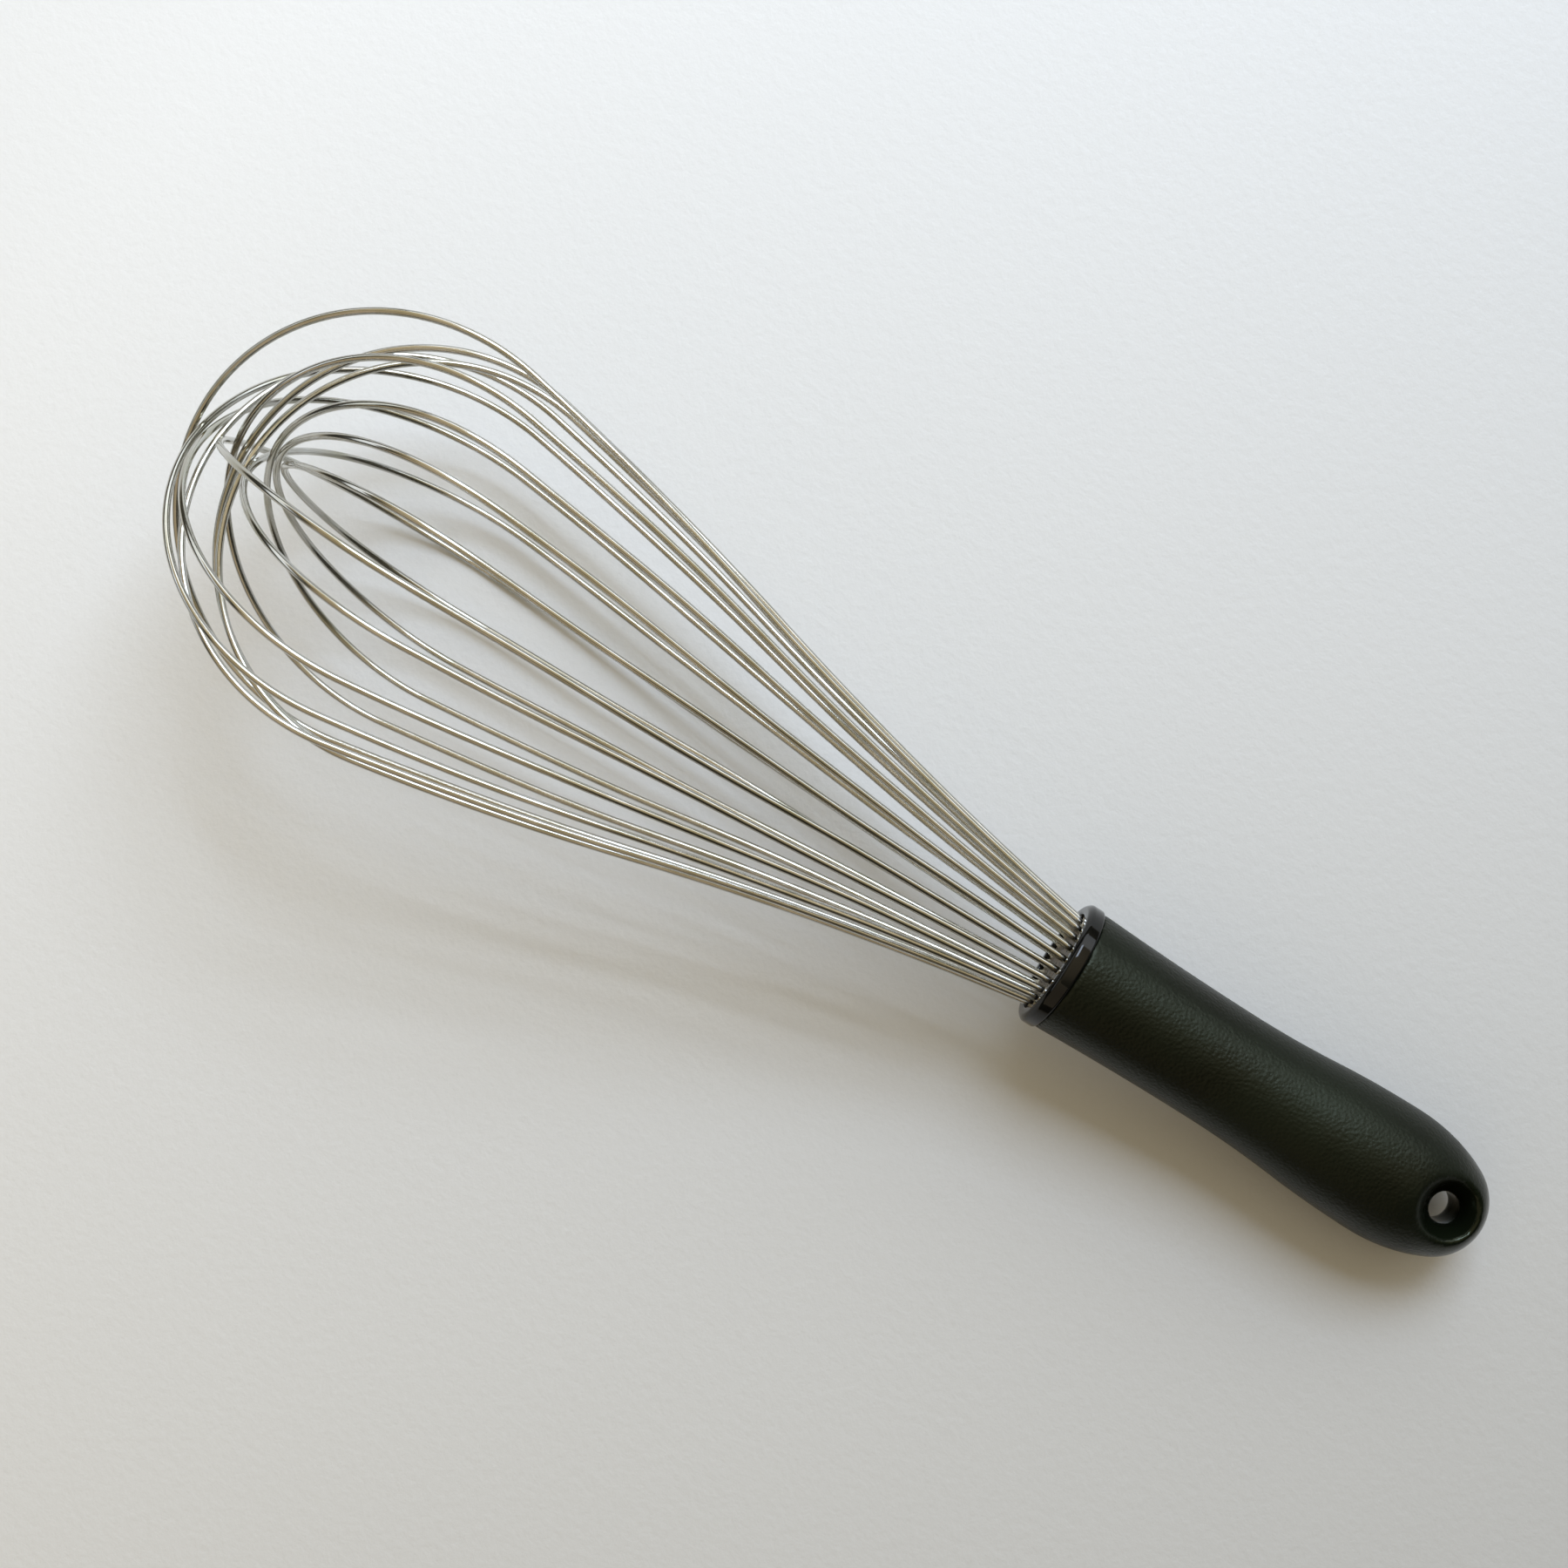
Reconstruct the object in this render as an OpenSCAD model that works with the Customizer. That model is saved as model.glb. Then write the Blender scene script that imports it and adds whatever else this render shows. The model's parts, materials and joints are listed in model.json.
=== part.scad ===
// Balloon whisk with twelve nested wire loops and a soft-grip handle.
// Lengths are in millimetres and angles in degrees.
// The whisk lies at rest on the plane z = 0 with its balloon towards +X.
// Whisk-axis frame used by the part modules: x = 0 is the face of the wire plug,
// +x runs along the whisk axis to the balloon tip, -x runs into the handle.

/* [Wire loops] */
// diameter of the spring wire
wire_d = 1.4; // [1:0.05:2]
// distance from the plug face to the centre line of the outermost loop's tip
balloon_len = 191; // [176:1:220]
// radius of the rounded tip of the outermost loop
tip_r = 42.9; // [36:0.1:46]
// distance each loop's tip sits behind the one outside it
nest_step = 1.75; // [1.5:0.05:2]
// amount each loop's tip radius is smaller than the one outside it
nest_shrink = 0.53; // [0.3:0.01:0.6]
// radius of the ring of wire holes on the plug face
hole_ring_r = 9.15; // [9:0.05:9.25]
// angle by which a wire leaves its hole flatter than the straight line to its tip curve
exit_dip = 3.5; // [3.4:0.1:5]
// angle by which the flared side grows steeper than that straight line
flare_rise = 3; // [2.6:0.1:3.3]
// angle by which the side ends flatter than that straight line
shoulder_dip = 2.3; // [1.6:0.1:2.7]
// length of wire held inside the handle, along the axis
wire_grip_len = 17; // [10:1:19]

/* [Wire plug] */
// radius of the drilled plug that spaces the wires
plug_r = 10.4; // [10.4:0.05:10.8]
// thickness of the plug
plug_t = 5; // [3:0.5:6]
// gap all round between a wire and its hole
hole_gap = 0.03; // [0.02:0.01:0.06]
// radius of a resin bead where it lies on the plug face
bead_r = 1.12; // [0.9:0.01:1.15]
// radius of a resin bead at its top
bead_top_r = 0.95; // [0.8:0.01:1.1]
// height of a resin bead along its wire
bead_h = 0.7; // [0.4:0.1:1.2]

/* [Handle core] */
// outer radius of the exposed front collar
collar_r = 12.9; // [12.6:0.05:14]
// distance the collar lip stands in front of the plug face
lip_len = 1; // [0:0.1:3]
// width of the exposed collar behind the plug face
collar_len = 2.2; // [1.5:0.1:5]
// width of the chamfer on the collar's front edge
lip_chamfer = 0.8; // [0.2:0.1:1.2]
// radius of the core shoulder behind the collar
shoulder_r = 11.3; // [11.2:0.1:11.6]
// length of the core shoulder
shoulder_len = 4; // [2:0.5:6]
// radius of the core shank inside the grip
shank_r = 10.4; // [10.3:0.1:10.8]
// radius of the core's rounded tail
tail_r = 9; // [7:0.5:10]
// distance from the grip's widest point forward to the centre of the rounded tail
tail_back = 6; // [5:0.5:12]
// radius of the potting cavity behind the plug
cavity_r = 9.5; // [9.4:0.1:9.8]
// length of the potting cavity
cavity_len = 15; // [10:1:20]

/* [Grip] */
// radius of the grip where it meets the collar
front_r = 12.5; // [12.3:0.1:12.8]
// radius of the grip at its waist
waist_r = 11.65; // [11.5:0.05:12.2]
// distance from the plug face back to the waist
waist_x = 37; // [25:1:40]
// radius of the grip at its widest point
bulge_r = 13.35; // [12.5:0.05:15]
// distance from the plug face back to the widest point
bulge_x = 74; // [66:0.5:80]
// distance from the plug face back to the end of the handle
handle_end_x = 95.5; // [92:0.5:104]
// radius of the arc that leads from the widest point into the rounded end
end_arc_r = 36; // [34:1:44]

/* [Hanging hole] */
// distance from the plug face back to the centre of the hole
hang_x = 86.5; // [84:0.5:90]
// diameter of the straight middle of the hole
hang_d = 6; // [4:0.5:7]
// length of the straight middle of the hole
hang_land = 4.6; // [1.8:0.1:6]
// radius of the rounded mouth on each side
mouth_r = 7; // [4:0.5:10]
// half angle of the dished recess around the hole
dish_angle = 31; // [20:1:35]

/* [Resting pose] */
// angle the whisk is turned about its own axis as it lies
rest_roll = 0.1; // [-7:0.1:7]

/* [Colours] */
// polished stainless wire
wire_colour = [0.78, 0.77, 0.74];
// glossy black core plastic
core_colour = [0.03, 0.03, 0.03];
// soft charcoal grip
grip_colour = [0.10, 0.10, 0.09];
// plug plastic
plug_colour = [0.05, 0.04, 0.03];
// clear amber resin
resin_colour = [0.50, 0.42, 0.30];

/* [Hidden] */
// slot taken by each loop from the outermost in, counted in steps of the hole pitch
// from the level plane: odd numbers are half pitches, negative ones roll the other way
slot_order = [-3, 5, 7, 3, 11, -5, -1, 1, 9, -7, -9, -11];
loop_count = len(slot_order);
half_pitch = 90 / loop_count;
// sides of a full turn: handle parts, wire section, long bends of the wire
$fn = 96;
wire_fn = 32;
bend_fn = 360;
wire_r = wire_d / 2;
// each bend stops this short of its joint, and the ball there bridges the gap
joint_trim = 0.05;
joint_over = 0.02;
// length cut beyond a face so that holes break right through
cut = 1;
// number of flats along each curved stretch of the handle outline
long_steps = 10;
end_steps = 10;
nose_steps = 16;
tail_steps = 12;
mouth_steps = 8;
mouth_edge_r = hang_d / 2 + mouth_r * (1 - cos(dish_angle));
mouth_edge_z = hang_land / 2 + mouth_r * sin(dish_angle);

function loop_r(i) = tip_r - i * nest_shrink;
function loop_x(i) = balloon_len - i * nest_step - loop_r(i);
function loop_roll(i) = slot_order[i] * half_pitch + rest_roll;

// The side of a loop is two tangent arcs, one bending outwards and one inwards, that run
// from the hole to the rounded tip. Their angles are measured from the straight line
// between those two points, the chord.
function chord_angle(i) = asin(loop_r(i) * cos(shoulder_dip) / norm([loop_x(i), hole_ring_r]))
    - atan2(hole_ring_r, loop_x(i));
function exit_angle(i) = chord_angle(i) - exit_dip;
function flare_angle(i) = chord_angle(i) + flare_rise;
function shoulder_angle(i) = chord_angle(i) - shoulder_dip;
function chord_len(i) = norm([loop_x(i) - loop_r(i) * sin(shoulder_angle(i)),
    loop_r(i) * cos(shoulder_angle(i)) - hole_ring_r]);
arc_ratio = (cos(flare_rise) - cos(exit_dip)) / (cos(shoulder_dip) - cos(flare_rise));
arc_span = sin(exit_dip) + sin(flare_rise) + arc_ratio * (sin(flare_rise) + sin(shoulder_dip));
function flare_arc_r(i) = chord_len(i) / arc_span;
function side_arc_r(i) = arc_ratio * flare_arc_r(i);
function mid_point(i) = [flare_arc_r(i) * (sin(flare_angle(i)) - sin(exit_angle(i))),
    hole_ring_r + flare_arc_r(i) * (cos(exit_angle(i)) - cos(flare_angle(i))), 0];
function shoulder_point(i) = [loop_x(i) - loop_r(i) * sin(shoulder_angle(i)),
    loop_r(i) * cos(shoulder_angle(i)), 0];

// grip outline: two waist arcs, a bulge arc, an end arc and a nose arc, all tangent
waist_front_r = (pow(waist_x - collar_len, 2) + pow(front_r - waist_r, 2)) / (2 * (front_r - waist_r));
rise_x = bulge_x - waist_x;
rise_r = bulge_r - waist_r;
// both rising arcs share one radius, so they meet half way up the rise
rise_arc_r = (pow(rise_x, 2) + pow(rise_r, 2)) / (4 * rise_r);
rise_angle = asin(rise_x / 2 / rise_arc_r);
end_drop = end_arc_r - bulge_r;
end_run = handle_end_x - bulge_x;
nose_r = (pow(end_run, 2) + pow(end_drop, 2) - pow(end_arc_r, 2)) / (2 * (end_run - end_arc_r));
nose_x = handle_end_x - nose_r;
nose_angle = atan2(nose_x - bulge_x, end_drop);

// resting pose: the tilt at which the handle and the lowest wire both touch the plane
function handle_low(t) = -bulge_x * sin(t) + end_drop * cos(t) - end_arc_r;
function loop_dip(i, t) = norm([sin(t), sin(loop_roll(i)) * cos(t)]);
function loop_low(i, t) = loop_x(i) * sin(t) - loop_r(i) * loop_dip(i, t) - wire_r;
function balloon_low(t) = min([for (i = [0:loop_count - 1]) loop_low(i, t)]);
function low_gap(t) = balloon_low(t) - handle_low(t);
function next_tilt(t) = t - low_gap(t) / ((loop_x(0) + bulge_x) * PI / 180);
function settle(t, n) = n == 0 ? t : settle(next_tilt(t), n - 1);
settle_start = 5;
settle_steps = 12;
rest_tilt = settle(settle_start, settle_steps);
rest_lift = -handle_low(rest_tilt);
function loop_front(i) = loop_x(i) * cos(rest_tilt)
    + loop_r(i) * norm([cos(rest_tilt), sin(loop_roll(i)) * sin(rest_tilt)]) + wire_r;
front_x = max([for (i = [0:loop_count - 1]) loop_front(i)]);
rear_x = -nose_x * cos(rest_tilt) - nose_r;
rest_x = -(front_x + rear_x) / 2;

// points of an arc from angle a to angle b
function arc_point(cx, cy, r, a) = [cx + r * cos(a), cy + r * sin(a)];
function arc(cx, cy, r, a, b, n) = [for (j = [0:n]) arc_point(cx, cy, r, a + (b - a) * j / n)];

function two_digits(n) = n < 10 ? str("0", n) : str(n);
function loop_name(i) = str("wire_loop_", two_digits(i + 1));

// moves a part from the whisk-axis frame to its resting place
module at_rest() {
    translate([rest_x, 0, rest_lift])
        rotate([0, -rest_tilt, 0])
            children();
}

// bent wire that leaves the origin along +x and turns by angle a, to +y if a is positive
module bend(r, a) {
    trim = joint_trim / r * 180 / PI;
    side = sign(a);
    sweep = abs(a);
    translate([0, side * r, 0])
        rotate_extrude(angle = sweep - 2 * trim, start = (side > 0 ? -90 : 90 - sweep) + trim, $fn = bend_fn)
            translate([r, 0])
                circle(r = wire_r, $fn = wire_fn);
}

// ball a hair larger than the wire that joins two bends into one smooth piece;
// its poles point along the wire, so only a plain band of it shows
module joint_ball() {
    rotate([0, 90, 0])
        sphere(r = wire_r + joint_over, $fn = wire_fn);
}

// straight stub inside the handle and the two side arcs, on the +y side
module loop_side(i) {
    translate([0, hole_ring_r, 0])
        rotate([0, 0, exit_angle(i)]) {
            translate([-joint_trim, 0, 0])
                rotate([0, -90, 0])
                    cylinder(r = wire_r, h = wire_grip_len / cos(exit_angle(i)) - joint_trim, $fn = wire_fn);
            joint_ball();
            bend(flare_arc_r(i), flare_angle(i) - exit_angle(i));
        }
    translate(mid_point(i))
        rotate([0, 0, flare_angle(i)]) {
            joint_ball();
            bend(side_arc_r(i), shoulder_angle(i) - flare_angle(i));
        }
    translate(shoulder_point(i))
        rotate([0, 0, shoulder_angle(i)])
            joint_ball();
}

// one closed wire loop lying in the XY plane
module loop_shape(i) {
    loop_side(i);
    mirror([0, 1, 0])
        loop_side(i);
    translate(shoulder_point(i))
        rotate([0, 0, shoulder_angle(i)])
            bend(loop_r(i), -180 - 2 * shoulder_angle(i));
}

module wire_loop(i) {
    color(wire_colour)
        at_rest()
            rotate([loop_roll(i), 0, 0])
                loop_shape(i);
}

// clearance holes round both stubs of every loop, closed just behind the wire ends
module wire_holes() {
    for (i = [0:loop_count - 1], side = [0, 180])
        rotate([loop_roll(i) + side, 0, 0])
            translate([0, hole_ring_r, 0])
                rotate([0, 0, exit_angle(i)])
                    wire_hole(wire_grip_len / cos(exit_angle(i)) + hole_gap);
}

// one clearance hole that starts at x = -back and clears the bead in front of the plug
module wire_hole(back) {
    translate([-back, 0, 0])
        rotate([0, 90, 0])
            cylinder(r = wire_r + hole_gap, h = back + bead_h + cut, $fn = wire_fn);
}

// turns a profile of [distance along the axis, radius] points round the whisk axis
module turned(points) {
    rotate([0, 90, 0])
        rotate_extrude()
            polygon([for (p = points) [p[1], p[0]]]);
}

// plain round bar on the whisk axis from x = a to x = b
module bar(r, a, b) {
    translate([a, 0, 0])
        rotate([0, 90, 0])
            cylinder(r = r, h = b - a);
}

// outside of the hard core: collar, shoulder, shank and rounded tail
module core_solid() {
    tail_x = bulge_x - tail_back;
    turned(concat(
        [[lip_len, 0],
         [lip_len, collar_r - lip_chamfer],
         [lip_len - lip_chamfer, collar_r],
         [-collar_len, collar_r],
         [-collar_len, shoulder_r],
         [-collar_len - shoulder_len, shoulder_r],
         [-collar_len - shoulder_len, shank_r],
         [-plug_t - cavity_len, shank_r]],
        arc(-tail_x, 0, tail_r, 90, 180, tail_steps)));
}

// hard plastic core with its stepped socket
module handle_core() {
    color(core_colour)
        at_rest()
            difference() {
                core_solid();
                bar(plug_r, -plug_t, lip_len + cut);
                bar(cavity_r, -plug_t - cavity_len, -plug_t + cut);
            }
}

// outside of the soft grip, from the back of the collar to the nose
module grip_solid() {
    front_sweep = asin((waist_x - collar_len) / waist_front_r);
    turned(concat(
        [[-collar_len, 0]],
        arc(-waist_x, waist_r + waist_front_r, waist_front_r, -90 + front_sweep, -90, long_steps),
        arc(-waist_x, waist_r + rise_arc_r, rise_arc_r, -90, -90 - rise_angle, long_steps),
        arc(-bulge_x, bulge_r - rise_arc_r, rise_arc_r, 90 - rise_angle, 90, long_steps),
        arc(-bulge_x, -end_drop, end_arc_r, 90, 90 + nose_angle, end_steps),
        arc(-nose_x, 0, nose_r, 90 + nose_angle, 180, nose_steps)));
}

// upper half of the outline of the hanging hole, as [radius, height] points
function mouth_points() = concat(
    [[0, 0], [hang_d / 2, 0]],
    arc(hang_d / 2 + mouth_r, hang_land / 2, mouth_r, 180, 180 - dish_angle, mouth_steps),
    [[mouth_edge_r + (bulge_r + cut - mouth_edge_z) * tan(dish_angle), bulge_r + cut],
     [0, bulge_r + cut]]);

// hanging hole with a rounded mouth and dished recess on both sides
module hang_hole() {
    rotate([rest_roll, 0, 0])
        translate([-hang_x, 0, 0]) {
            cylinder(r = hang_d / 2, h = hang_land, center = true);
            for (side = [0, 1])
                mirror([0, 0, side])
                    rotate_extrude()
                        polygon(mouth_points());
        }
}

// soft over-moulded sleeve around the core
module grip() {
    color(grip_colour)
        at_rest()
            difference() {
                grip_solid();
                core_solid();
                hang_hole();
            }
}

// drilled disc that spaces the wires in the mouth of the collar
module wire_plug() {
    color(plug_colour)
        at_rest()
            difference() {
                bar(plug_r, -plug_t, 0);
                wire_holes();
            }
}

// resin that fills the cavity behind the plug and anchors the wire ends
module resin_fill() {
    color(resin_colour)
        at_rest()
            difference() {
                bar(cavity_r, -plug_t - cavity_len, -plug_t);
                wire_holes();
            }
}

// small collar of resin round each wire where it leaves the plug
module seal_beads() {
    color(resin_colour)
        at_rest()
            difference() {
                for (j = [0:2 * loop_count - 1])
                    rotate([(2 * j + 1) * half_pitch + rest_roll, 0, 0])
                        translate([0, hole_ring_r, 0])
                            rotate([0, 90, 0])
                                cylinder(r1 = bead_r, r2 = bead_top_r, h = bead_h, $fn = wire_fn);
                wire_holes();
            }
}

for (i = [0:loop_count - 1])
    wire_loop(i);
handle_core();
grip();
wire_plug();
resin_fill();
seal_beads();
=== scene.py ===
import json
import math

import bmesh
import bpy
import numpy as np
from mathutils import Matrix, Vector


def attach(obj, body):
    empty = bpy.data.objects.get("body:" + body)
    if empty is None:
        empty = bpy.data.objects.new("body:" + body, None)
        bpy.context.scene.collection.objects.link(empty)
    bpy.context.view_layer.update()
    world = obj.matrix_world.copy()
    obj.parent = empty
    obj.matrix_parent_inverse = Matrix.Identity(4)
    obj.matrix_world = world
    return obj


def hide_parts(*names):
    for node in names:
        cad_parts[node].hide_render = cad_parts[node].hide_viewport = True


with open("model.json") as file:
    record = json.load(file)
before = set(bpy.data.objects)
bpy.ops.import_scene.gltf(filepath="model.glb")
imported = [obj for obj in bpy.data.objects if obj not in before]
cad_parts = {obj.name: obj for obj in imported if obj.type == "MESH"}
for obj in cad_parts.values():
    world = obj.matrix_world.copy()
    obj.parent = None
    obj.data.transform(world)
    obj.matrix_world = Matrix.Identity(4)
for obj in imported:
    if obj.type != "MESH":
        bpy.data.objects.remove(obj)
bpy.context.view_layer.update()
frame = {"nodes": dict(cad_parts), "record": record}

# Balloon whisk. All sizes below are in millimetres, as in the CAD model; MM turns them
# into the frame's metres. The whisk-axis frame has x = 0 at the face of the wire plug,
# +x along the axis to the balloon tip and -x into the handle.
MM = 0.001

# ---------------------------------------------------------------- driving dimensions

WIRE_R = 0.7
BALLOON_LEN = 191.0
TIP_R = 42.9
NEST_STEP = 1.75
NEST_SHRINK = 0.53
HOLE_RING_R = 9.15
EXIT_DIP = math.radians(3.5)
FLARE_RISE = math.radians(3.0)
SHOULDER_DIP = math.radians(2.3)
STUB_LEN = 16.0
SLOT_ORDER = [-3, 5, 7, 3, 11, -5, -1, 1, 9, -7, -9, -11]
HALF_PITCH = math.radians(90.0 / len(SLOT_ORDER))
REST_ROLL = math.radians(0.1)

COLLAR_R = 12.9
LIP_LEN = 1.0
COLLAR_LEN = 2.2
LIP_CHAMFER = 0.8
PLUG_R = 10.4
SHANK_R = 10.4
BEAD_R = 1.12
BEAD_H = 0.75
HANG_X = 86.5
TAIL_X = -68.0
TAIL_R = 9.0
# the mouth of the hanging hole, as distances from the hole's axis
MOUTH_FROM = 3.4
MOUTH_TO = 10.5


# ---------------------------------------------------------------- the whisk-axis frame

def mount(name):
    return next(m for m in frame["record"]["mounts"] if m["name"] == name)


HANG = mount("hanging_hole")
TILT = math.atan2(-HANG["axis"][0], HANG["axis"][2])
AXIS_DIR = Vector((math.cos(TILT), 0, math.sin(TILT)))
PLUG_FACE = Vector(HANG["pos_m"]) + AXIS_DIR * HANG_X * MM
TO_WORLD = Matrix.Translation(PLUG_FACE) @ Matrix.Rotation(-TILT, 4, "Y") @ Matrix.Scale(MM, 4)


def to_world(points):
    """Whisk-axis points in millimetres to frame points in metres."""
    m = np.array(TO_WORLD)
    p = np.asarray(points, dtype=float)
    return p @ m[:3, :3].T + m[:3, 3]


# ---------------------------------------------------------------- mesh helpers

def make_object(name, verts, faces, uvs=None):
    mesh = bpy.data.meshes.new(name)
    mesh.from_pydata([tuple(v) for v in verts], [], faces)
    if uvs is not None:
        layer = mesh.uv_layers.new(name="UVMap")
        for loop in mesh.loops:
            layer.data[loop.index].uv = uvs[loop.vertex_index]
    mesh.polygons.foreach_set("use_smooth", [True] * len(mesh.polygons))
    mesh.update()
    obj = bpy.data.objects.new(name, mesh)
    bpy.context.collection.objects.link(obj)
    return obj


def grid_faces(rings, sides, closed=True):
    """Quads between consecutive rings of points."""
    faces = []
    last = sides if closed else sides - 1
    for i in range(rings - 1):
        for j in range(last):
            k = (j + 1) % sides
            faces.append((i * sides + j, i * sides + k, (i + 1) * sides + k, (i + 1) * sides + j))
    return faces


def lathe(name, profile, sides=160):
    """Turns a profile of (x, radius) points round the whisk axis. Ends on the axis are closed."""
    verts = []
    for x, r in profile:
        for j in range(sides):
            a = 2 * math.pi * j / sides
            verts.append((x, r * math.cos(a), r * math.sin(a)))
    faces = grid_faces(len(profile), sides)
    obj = make_object(name, to_world(verts), faces)
    weld(obj)
    return obj


def weld(obj, distance=1e-6):
    bm = bmesh.new()
    bm.from_mesh(obj.data)
    bmesh.ops.remove_doubles(bm, verts=bm.verts, dist=distance)
    bmesh.ops.recalc_face_normals(bm, faces=bm.faces)
    bm.to_mesh(obj.data)
    bm.free()


def rounded(points, radius, steps=6):
    """Rounds each inner corner of an open outline with a small curve."""
    pts = [np.array(p, dtype=float) for p in points]
    out = [pts[0]]
    for a, b, c in zip(pts, pts[1:], pts[2:]):
        reach = min(radius, np.linalg.norm(a - b) * 0.49, np.linalg.norm(c - b) * 0.49)
        p = b + (a - b) / np.linalg.norm(a - b) * reach
        q = b + (c - b) / np.linalg.norm(c - b) * reach
        for t in np.linspace(0, 1, steps):
            out.append((1 - t) ** 2 * p + 2 * t * (1 - t) * b + t ** 2 * q)
    out.append(pts[-1])
    return out


def apply_modifiers(obj):
    bpy.context.view_layer.objects.active = obj
    for other in bpy.context.selected_objects:
        other.select_set(False)
    obj.select_set(True)
    for modifier in list(obj.modifiers):
        bpy.ops.object.modifier_apply(modifier=modifier.name)
    obj.select_set(False)


def finish_piece(obj, material, slot, *nodes):
    """Gives a new piece its material and its body, and hides the CAD nodes that it stands for."""
    obj.data.materials.clear()
    obj.data.materials.append(material)
    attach(obj, "root")
    if nodes:
        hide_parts(*nodes)


# ---------------------------------------------------------------- material helpers

class Surface:
    """A material built from a Principled shader, with short calls for the nodes it needs."""

    def __init__(self, name):
        self.material = bpy.data.materials.new(name)
        self.material.use_nodes = True
        self.tree = self.material.node_tree
        self.shader = self.tree.nodes["Principled BSDF"]

    def node(self, kind, **values):
        made = self.tree.nodes.new(kind)
        for key, value in values.items():
            if key in made.inputs:
                made.inputs[key].default_value = value
            else:
                setattr(made, key, value)
        return made

    def link(self, output, target):
        self.tree.links.new(output, target)

    def set(self, **values):
        for key, value in values.items():
            self.shader.inputs[key.replace("_", " ")].default_value = value

    def coords(self, kind="Object", scale=(1, 1, 1)):
        place = self.node("ShaderNodeTexCoord")
        mapping = self.node("ShaderNodeMapping")
        mapping.inputs["Scale"].default_value = scale
        self.link(place.outputs[kind], mapping.inputs["Vector"])
        return mapping.outputs["Vector"]

    def noise(self, vector, scale, detail=4.0, roughness=0.5):
        made = self.node("ShaderNodeTexNoise", Scale=scale, Detail=detail, Roughness=roughness)
        self.link(vector, made.inputs["Vector"])
        return made.outputs["Fac"]

    def cells(self, vector, scale, feature="F1", smooth=0.6):
        made = self.node("ShaderNodeTexVoronoi", Scale=scale)
        made.feature = feature
        if feature == "SMOOTH_F1":
            made.inputs["Smoothness"].default_value = smooth
        self.link(vector, made.inputs["Vector"])
        return made.outputs["Distance"]

    def remap(self, value, low, high, from_low=0.3, from_high=0.7):
        made = self.node("ShaderNodeMapRange")
        made.inputs["From Min"].default_value = from_low
        made.inputs["From Max"].default_value = from_high
        made.inputs["To Min"].default_value = low
        made.inputs["To Max"].default_value = high
        self.link(value, made.inputs["Value"])
        return made.outputs["Result"]

    def ramp(self, value, stops):
        made = self.node("ShaderNodeValToRGB")
        elements = made.color_ramp.elements
        while len(elements) < len(stops):
            elements.new(0.5)
        for element, (position, colour) in zip(elements, stops):
            element.position = position
            element.color = (*colour, 1)
        self.link(value, made.inputs["Fac"])
        return made.outputs["Color"]

    def add(self, a, b, weight=1.0):
        made = self.node("ShaderNodeMath", operation="MULTIPLY_ADD")
        self.link(b, made.inputs[0])
        made.inputs[1].default_value = weight
        self.link(a, made.inputs[2])
        return made.outputs["Value"]

    def bump(self, height, strength, distance, under=None):
        made = self.node("ShaderNodeBump", Strength=strength, Distance=distance)
        self.link(height, made.inputs["Height"])
        if under is not None:
            self.link(under, made.inputs["Normal"])
        return made.outputs["Normal"]


def drawn_steel():
    """Bright drawn stainless wire: fine lengthwise streaks, faint stains and tiny dents."""
    s = Surface("drawn_steel")
    s.set(Metallic=1.0)
    along = s.coords("UV", (0.05, 14.0, 1.0))
    space = s.coords("Object")
    streaks = s.noise(along, 6.0, 5.0, 0.6)
    stains = s.noise(space, 90.0, 3.0, 0.55)
    tones = [(0.30, (0.43, 0.42, 0.35)), (0.52, (0.52, 0.51, 0.47)), (0.75, (0.62, 0.62, 0.60))]
    s.link(s.ramp(stains, tones), s.shader.inputs["Base Color"])
    s.link(s.remap(streaks, 0.09, 0.20), s.shader.inputs["Roughness"])
    dents = s.noise(space, 140.0, 2.0, 0.5)
    fine = s.bump(streaks, 0.03, 0.00003)
    s.link(s.bump(dents, 0.03, 0.00012, fine), s.shader.inputs["Normal"])
    return s.material


def soft_grip():
    """Near-black thermoplastic rubber with a fine leather grain, worn smooth round the hole."""
    s = Surface("soft_grip")
    space = s.coords("Object")
    drift = s.noise(space, 55.0, 3.0, 0.5)
    tones = [(0.25, (0.002, 0.002, 0.001)), (0.50, (0.003, 0.004, 0.002)), (0.78, (0.004, 0.006, 0.003))]
    s.link(s.ramp(drift, tones), s.shader.inputs["Base Color"])
    s.set(Specular_IOR_Level=0.25, Specular_Tint=(0.90, 1.0, 0.76, 1.0))
    grain = s.cells(space, 1500.0, "SMOOTH_F1", 0.75)
    wrinkle = s.noise(space, 1900.0, 4.0, 0.6)
    height = s.add(grain, wrinkle, 0.8)
    away = s.node("ShaderNodeVectorMath", operation="DISTANCE")
    s.link(space, away.inputs[0])
    away.inputs[1].default_value = HANG["pos_m"]
    worn = s.remap(away.outputs["Value"], 0.0, 1.0, 0.009, 0.013)
    rough = s.remap(s.add(drift, wrinkle, 0.3), 0.07, 0.18, 0.4, 0.9)
    s.link(s.add(rough, worn, 0.28), s.shader.inputs["Roughness"])
    grained = s.node("ShaderNodeMath", operation="MULTIPLY")
    s.link(height, grained.inputs[0])
    s.link(s.remap(worn, 0.25, 1.0, 0.0, 1.0), grained.inputs[1])
    s.link(s.bump(grained.outputs["Value"], 0.45, 0.00016), s.shader.inputs["Normal"])
    return s.material


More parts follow.
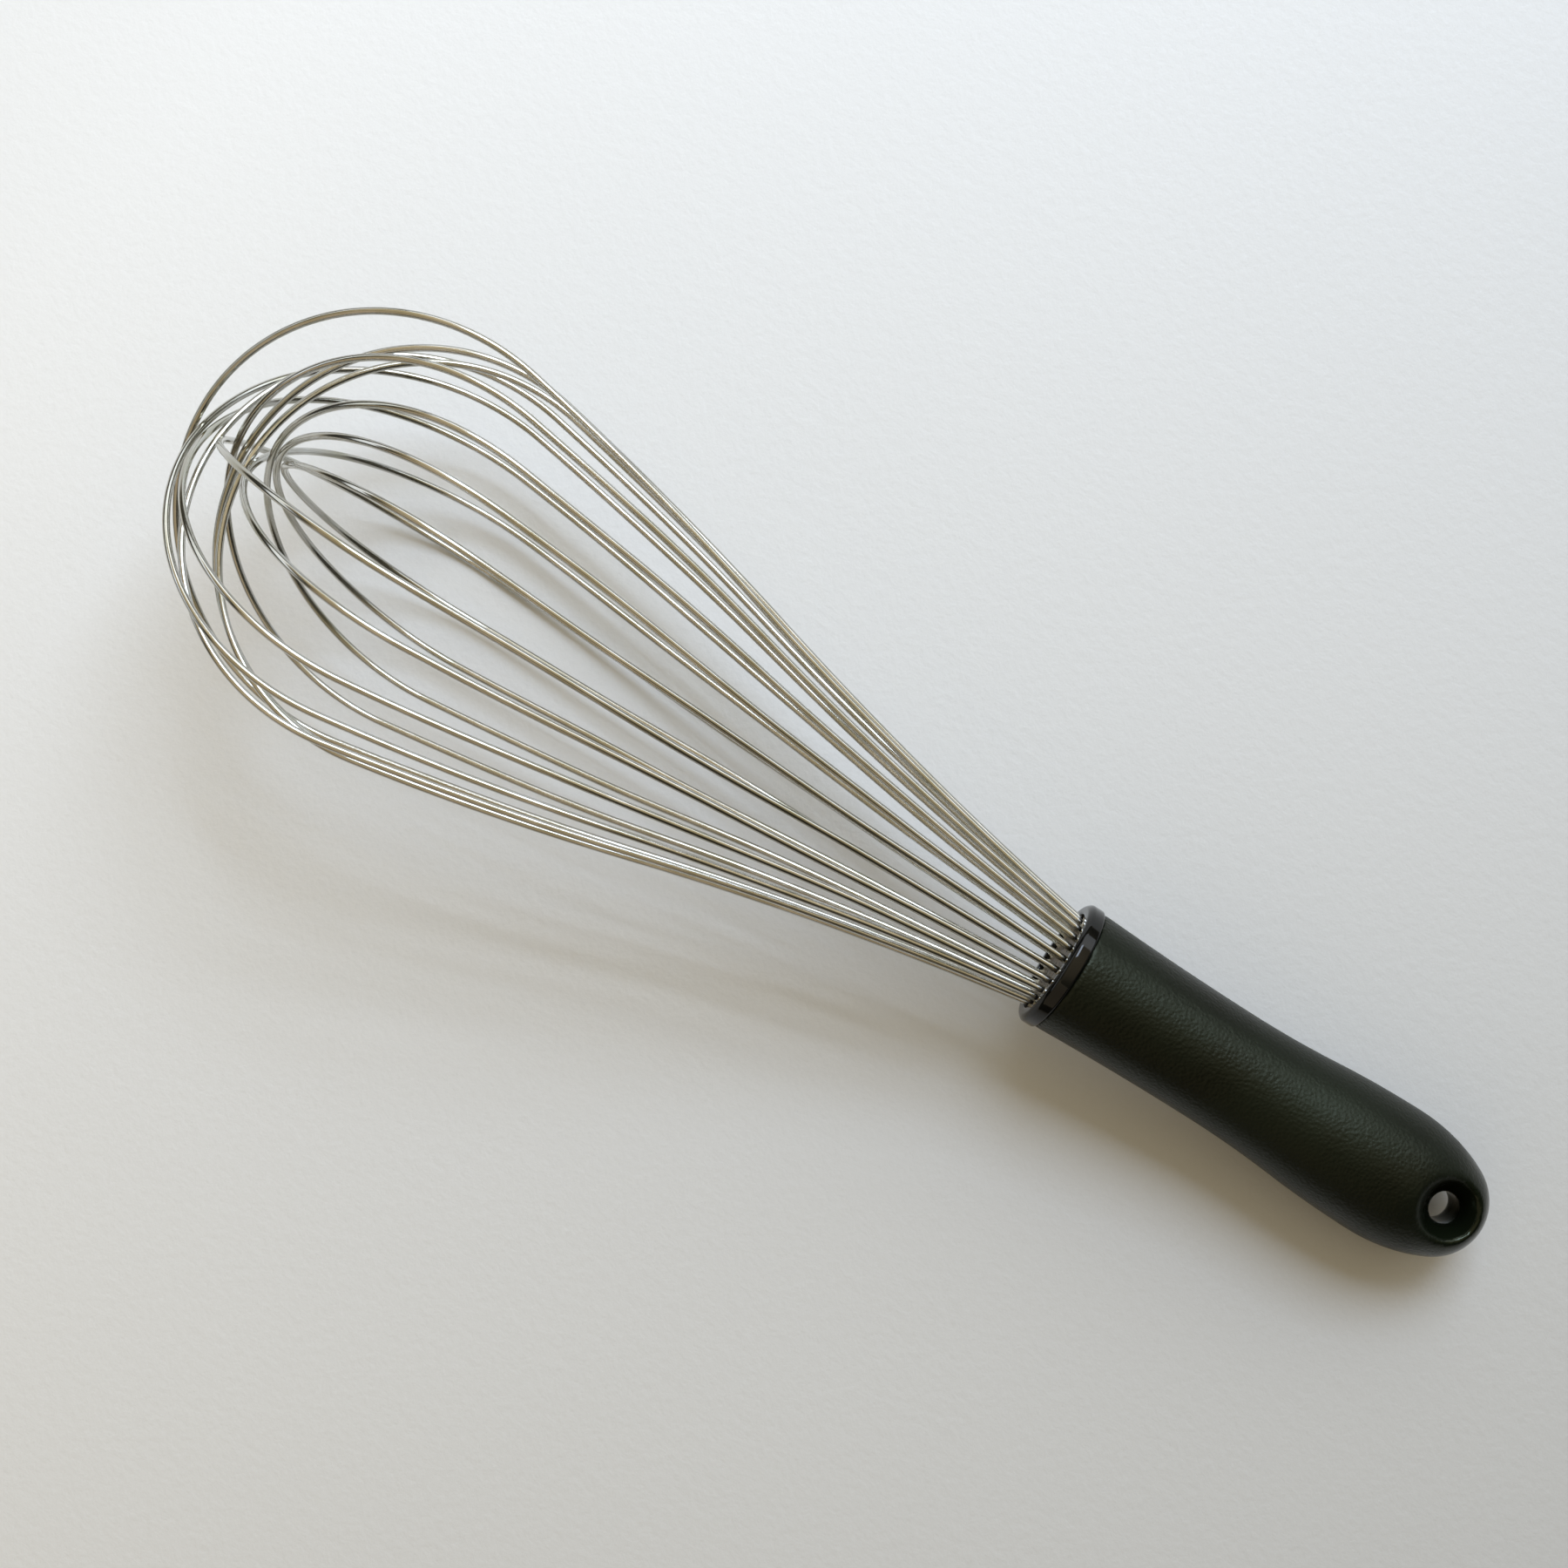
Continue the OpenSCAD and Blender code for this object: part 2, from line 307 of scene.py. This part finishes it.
def gloss_black():
    """Hard glossy black moulding with faint ripples and hairline scuffs."""
    s = Surface("gloss_black")
    space = s.coords("Object")
    ripple = s.noise(space, 160.0, 2.0, 0.5)
    scuff = s.noise(s.coords("Object", (1.0, 6.0, 6.0)), 900.0, 3.0, 0.6)
    tones = [(0.3, (0.002, 0.002, 0.002)), (0.7, (0.005, 0.005, 0.004))]
    s.link(s.ramp(ripple, tones), s.shader.inputs["Base Color"])
    s.link(s.remap(scuff, 0.05, 0.15), s.shader.inputs["Roughness"])
    s.set(Coat_Weight=0.40, Coat_Roughness=0.03, Specular_IOR_Level=0.10)
    s.link(s.bump(s.add(ripple, scuff, 0.15), 0.10, 0.00015), s.shader.inputs["Normal"])
    return s.material


def plug_plastic():
    """Dark plug face, wet with a thin coat of cured resin; its brown mottle is partly that resin and
    partly a painted reflection of the wires.
    """
    s = Surface("plug_plastic")
    space = s.coords("Object")
    film_and_painted_reflection = s.noise(space, 800.0, 4.0, 0.65)
    # painted reflection: the brown mottle in the base colour stands partly for a resin coat and partly for
    # reflections of the wires
    tones = [(0.3, (0.020, 0.014, 0.008)), (0.5, (0.10, 0.075, 0.042)), (0.7, (0.26, 0.21, 0.13))]
    s.link(s.ramp(film_and_painted_reflection, tones), s.shader.inputs["Base Color"])
    s.link(s.remap(film_and_painted_reflection, 0.22, 0.45), s.shader.inputs["Roughness"])
    s.set(Coat_Weight=0.10, Coat_Roughness=0.10, Specular_IOR_Level=0.30)
    s.link(s.bump(film_and_painted_reflection, 1.0, 0.0007), s.shader.inputs["Normal"])
    return s.material


def amber_resin():
    """Cured resin: amber, glossy and slightly uneven."""
    s = Surface("amber_resin")
    space = s.coords("Object")
    blotch = s.noise(space, 700.0, 3.0, 0.6)
    tones = [(0.3, (0.36, 0.28, 0.16)), (0.6, (0.80, 0.74, 0.60))]
    s.link(s.ramp(blotch, tones), s.shader.inputs["Base Color"])
    s.link(s.remap(blotch, 0.05, 0.18), s.shader.inputs["Roughness"])
    s.set(Coat_Weight=1.0, Coat_Roughness=0.03, Transmission_Weight=0.2)
    s.link(s.bump(blotch, 0.3, 0.0002), s.shader.inputs["Normal"])
    return s.material


def table_top():
    """Pale matt worktop with a fine speckle and an orange-peel surface; its colour is also painted lighter
    towards +x, a painted light falloff across the table.
    """
    s = Surface("table_top")
    space = s.coords("Object")
    speckle = s.noise(space, 900.0, 3.0, 0.6)
    # painted light: the worktop colour grows lighter towards +x, standing in for brighter light on that
    # side of the table
    along = s.node("ShaderNodeVectorMath", operation="DOT_PRODUCT")
    s.link(space, along.inputs[0])
    along.inputs[1].default_value = (0.95, -0.12, 0.0)
    drift = s.remap(along.outputs["Value"], 0.0, 1.0, -0.28, 0.22)
    speckle_and_painted_falloff = s.add(drift, speckle, 0.10)
    tones = [(0.05, (0.43, 0.43, 0.42)), (0.55, (0.62, 0.62, 0.61)), (1.0, (0.82, 0.82, 0.81))]
    s.link(s.ramp(speckle_and_painted_falloff, tones), s.shader.inputs["Base Color"])
    s.link(s.remap(speckle, 0.50, 0.70), s.shader.inputs["Roughness"])
    peel = s.noise(space, 420.0, 3.0, 0.55)
    s.link(s.bump(s.add(peel, speckle, 0.4), 0.25, 0.0004), s.shader.inputs["Normal"])
    return s.material


# ---------------------------------------------------------------- wire loops

def loop_r(i):
    return TIP_R - i * NEST_SHRINK


def loop_x(i):
    return BALLOON_LEN - i * NEST_STEP - loop_r(i)


def side_angles(i):
    """Angles to the axis where a loop leaves its hole, flares most and meets its tip arc."""
    reach = math.hypot(loop_x(i), HOLE_RING_R)
    chord = math.asin(loop_r(i) * math.cos(SHOULDER_DIP) / reach) - math.atan2(HOLE_RING_R, loop_x(i))
    return chord - EXIT_DIP, chord + FLARE_RISE, chord - SHOULDER_DIP


def arc_steps(length, pitch):
    return max(2, int(math.ceil(length / pitch)) + 1)


def half_loop(i):
    """Centre line of one side of a loop, from its buried end to the balloon tip, as (x, y)."""
    leave, flare, meet = side_angles(i)
    r = loop_r(i)
    cx = loop_x(i)
    chord_len = math.hypot(cx - r * math.sin(meet), r * math.cos(meet) - HOLE_RING_R)
    ratio = ((math.cos(FLARE_RISE) - math.cos(EXIT_DIP)) /
             (math.cos(SHOULDER_DIP) - math.cos(FLARE_RISE)))
    span = (math.sin(EXIT_DIP) + math.sin(FLARE_RISE) +
            ratio * (math.sin(FLARE_RISE) + math.sin(SHOULDER_DIP)))
    flare_r = chord_len / span
    side_r = flare_r * ratio
    stub = [(-d * math.cos(leave), HOLE_RING_R - d * math.sin(leave))
            for d in np.linspace(STUB_LEN, 0.6, 8)]
    a = np.linspace(leave, flare, arc_steps(flare_r * (flare - leave), 2.2))
    first = np.stack([flare_r * (np.sin(a) - math.sin(leave)),
                      HOLE_RING_R + flare_r * (math.cos(leave) - np.cos(a))], axis=1)
    b = np.linspace(flare, meet, arc_steps(side_r * (flare - meet), 2.2))
    second = np.stack([first[-1, 0] + side_r * (math.sin(flare) - np.sin(b)),
                       first[-1, 1] + side_r * (np.cos(b) - math.cos(flare))], axis=1)
    c = np.linspace(math.pi / 2 + meet, 0, arc_steps(r * (math.pi / 2 + meet), 1.4))
    tip = np.stack([cx + r * np.cos(c), r * np.sin(c)], axis=1)
    return np.concatenate([np.array(stub), first, second[1:], tip[1:]])


def wire_loop(i, material, sides=20):
    name = "wire_loop_%02d" % (i + 1)
    rng = np.random.default_rng(40 + i)
    half = half_loop(i)
    back = half[-2::-1] * (1, -1)
    line = np.concatenate([half, back])
    # a hand-bent wire wanders a little out of its plane and inwards, but not at its two ends
    steps = np.linalg.norm(np.diff(line, axis=0), axis=1)
    dist = np.concatenate([[0], np.cumsum(steps)])
    part = dist / dist[-1]
    ends = np.clip(np.minimum(part, 1 - part) / 0.12, 0, 1) ** 2
    phase = rng.uniform(0, 2 * math.pi, 4)
    around = 2 * math.pi * part
    wander = 0.22 * np.sin(3 * around + phase[0]) + 0.12 * np.sin(7 * around + phase[1])
    swell = -0.05 * (1 + np.sin(4 * around + phase[2]))
    tangent = np.gradient(line, axis=0)
    tangent /= np.linalg.norm(tangent, axis=1)[:, None]
    normal = np.stack([-tangent[:, 1], tangent[:, 0]], axis=1)
    line = line + normal * (swell * ends)[:, None]
    height = wander * ends
    roll = SLOT_ORDER[i] * HALF_PITCH + REST_ROLL
    turn = np.array(Matrix.Rotation(roll, 3, "X"))
    verts = []
    uvs = []
    for p, n, z, d in zip(line, normal, height, dist):
        for j in range(sides):
            a = 2 * math.pi * j / sides
            verts.append((p[0] + WIRE_R * math.cos(a) * n[0],
                          p[1] + WIRE_R * math.cos(a) * n[1],
                          z + WIRE_R * math.sin(a)))
            uvs.append((d, j / sides))
    verts = to_world(np.array(verts) @ turn.T)
    rings = len(line)
    faces = grid_faces(rings, sides)
    faces.append(tuple(range(sides))[::-1])
    faces.append(tuple(range((rings - 1) * sides, rings * sides)))
    obj = make_object("steel_" + name, verts, faces, uvs)
    finish_piece(obj, material, "wire", name)
    return obj


# ---------------------------------------------------------------- handle

def core(material):
    """Hard core: rounded glossy collar in front, plain shank inside the grip."""
    outline = [(-20.0, PLUG_R - 1.0), (-5.0, PLUG_R - 1.0), (-5.0, PLUG_R), (LIP_LEN - 0.1, PLUG_R),
               (LIP_LEN, PLUG_R + 0.4), (LIP_LEN, COLLAR_R - LIP_CHAMFER),
               (LIP_LEN - LIP_CHAMFER, COLLAR_R), (-COLLAR_LEN, COLLAR_R), (-COLLAR_LEN, 11.3),
               (-6.2, 11.3), (-6.2, SHANK_R), (-20.0, SHANK_R), (TAIL_X, TAIL_R)]
    profile = rounded(outline, 0.45, 8)
    for a in np.linspace(math.pi / 2, 0, 14)[1:]:
        profile.append((TAIL_X - TAIL_R * math.cos(a), TAIL_R * math.sin(a)))
    profile.insert(0, (-20.0, 0.0))
    obj = lathe("collar_core", profile)
    finish_piece(obj, material, "core", "handle_core")


def grip(material):
    """Soft grip: the CAD solid with its edges and the rim of the dished hole worked soft."""
    source = frame["nodes"]["grip"]
    obj = bpy.data.objects.new("grip_skin", source.data.copy())
    bpy.context.collection.objects.link(obj)
    remesh = obj.modifiers.new("remesh", "REMESH")
    remesh.mode = "VOXEL"
    remesh.voxel_size = 0.45 * MM
    apply_modifiers(obj)
    soften(obj)
    obj.data.polygons.foreach_set("use_smooth", [True] * len(obj.data.polygons))
    finish_piece(obj, material, "grip", "grip")


def soften(obj):
    """Smooths the skin a little everywhere and a lot round the mouth of the hanging hole."""
    hole = Vector(HANG["pos_m"])
    axis = Vector(HANG["axis"])
    bm = bmesh.new()
    bm.from_mesh(obj.data)
    near = []
    for v in bm.verts:
        rel = v.co - hole
        off = (rel - axis * rel.dot(axis)).length
        if MOUTH_FROM * MM < off < MOUTH_TO * MM:
            near.append(v)
    for verts, passes in ((bm.verts, 3), (near, 14)):
        for _ in range(passes):
            bmesh.ops.smooth_vert(bm, verts=verts, factor=0.5,
                                  use_axis_x=True, use_axis_y=True, use_axis_z=True)
    bm.to_mesh(obj.data)
    bm.free()


def beads(material, sides=20):
    """A meniscus of resin climbing each wire where it leaves the plug."""
    rng = np.random.default_rng(7)
    verts = []
    faces = []
    levels = np.linspace(0, 1, 7)
    for i in range(len(SLOT_ORDER)):
        leave = side_angles(i)[0]
        for side in (0, math.pi):
            roll = SLOT_ORDER[i] * HALF_PITCH + REST_ROLL + side
            turn = np.array(Matrix.Rotation(roll, 3, "X"))
            tall = BEAD_H * rng.uniform(0.7, 1.35)
            wide = BEAD_R * rng.uniform(0.92, 1.0)
            start = len(verts)
            for t in levels:
                r = WIRE_R + 0.01 + (wide - WIRE_R) * (1 - t) ** 2.2
                x = tall * t
                for j in range(sides):
                    a = 2 * math.pi * j / sides
                    p = np.array([x, HOLE_RING_R + x * math.tan(leave) + r * math.cos(a), r * math.sin(a)])
                    verts.append(tuple(turn @ p))
            for f in grid_faces(len(levels), sides):
                faces.append(tuple(start + k for k in f))
    obj = make_object("resin_beads", to_world(verts), faces)
    finish_piece(obj, material, "resin", "seal_beads")


# ---------------------------------------------------------------- floor, lights, camera

def floor(material):
    bpy.ops.mesh.primitive_plane_add(size=12.0, location=(0, 0, 0))
    plane = bpy.context.object
    plane.name = "floor"
    plane.data.materials.append(material)


def area_light(name, place, target, size, power, colour):
    data = bpy.data.lights.new(name, "AREA")
    data.shape = "RECTANGLE"
    data.size, data.size_y = size
    data.energy = power
    data.color = colour
    obj = bpy.data.objects.new(name, data)
    obj.location = place
    obj.rotation_euler = (Vector(target) - Vector(place)).to_track_quat("-Z", "Y").to_euler()
    bpy.context.collection.objects.link(obj)
    return obj


def lights():
    # a tall soft window beyond the top edge of the view, a little to the right
    area_light("window", (0.08, -0.68, 0.93), (0.0, 0.0, 0.0), (0.60, 0.46), 9.2, (0.74, 0.89, 1.12))
    # the low pale wall beside the window, seen as a long streak in every wire
    area_light("window_wall", (0.05, -1.05, 0.62), (0.0, 0.0, 0.0), (1.9, 0.50), 5.6, (0.86, 0.95, 1.05))
    # a long strip of weak daylight beyond the balloon tip
    area_light("side_window", (1.10, -0.05, 0.60), (0.05, 0.0, 0.0), (1.80, 0.30), 2.4, (0.90, 0.95, 1.0))
    # the lamp-lit room behind the viewer, which warms the shadows
    area_light("warm_room", (0.15, 0.95, 0.85), (0.0, 0.0, 0.0), (1.60, 1.20), 3.0, (1.0, 0.80, 0.54))
    # a warm room: pale ceiling, darker walls, brighter on the window's side
    world = bpy.data.worlds.new("room")
    world.use_nodes = True
    tree = world.node_tree
    around = tree.nodes.new("ShaderNodeTexCoord")
    height = tree.nodes.new("ShaderNodeVectorMath")
    height.operation = "DOT_PRODUCT"
    height.inputs[1].default_value = (0.05, -0.42, 0.91)
    shade = tree.nodes.new("ShaderNodeValToRGB")
    room = [(0.0, (0.03, 0.028, 0.022)), (0.5, (0.055, 0.050, 0.033)), (0.66, (0.20, 0.17, 0.10)),
            (0.80, (0.64, 0.53, 0.34)), (1.0, (0.92, 0.77, 0.50))]
    for _ in room[2:]:
        shade.color_ramp.elements.new(0.5)
    for element, (position, colour) in zip(shade.color_ramp.elements, room):
        element.position = position
        element.color = (*colour, 1)
    tree.links.new(around.outputs["Generated"], height.inputs[0])
    tree.links.new(height.outputs["Value"], shade.inputs["Fac"])
    tree.links.new(shade.outputs["Color"], tree.nodes["Background"].inputs["Color"])
    bpy.context.scene.world = world


def camera():
    """Looks down from above the neck of the balloon, leaning a little towards its tip."""
    data = bpy.data.cameras.new("camera")
    data.sensor_width = 36.0
    data.lens = 51.8
    obj = bpy.data.objects.new("camera", data)
    obj.location = PLUG_FACE + Vector((23.1, 0.6, 431.5)) * MM
    obj.rotation_euler = [math.radians(a) for a in (2.95, 4.27, -147.57)]
    bpy.context.collection.objects.link(obj)
    bpy.context.scene.camera = obj


# ---------------------------------------------------------------- build

steel = drawn_steel()
black = gloss_black()
for index in range(len(SLOT_ORDER)):
    wire_loop(index, steel)
core(black)
grip(soft_grip())
beads(amber_resin())
resin = amber_resin()
for node_name, node_material in (("wire_plug", plug_plastic()), ("resin_fill", resin)):
    frame["nodes"][node_name].data.materials.clear()
    frame["nodes"][node_name].data.materials.append(node_material)
floor(table_top())
lights()
camera()
bpy.context.scene.view_settings.view_transform = "Standard"
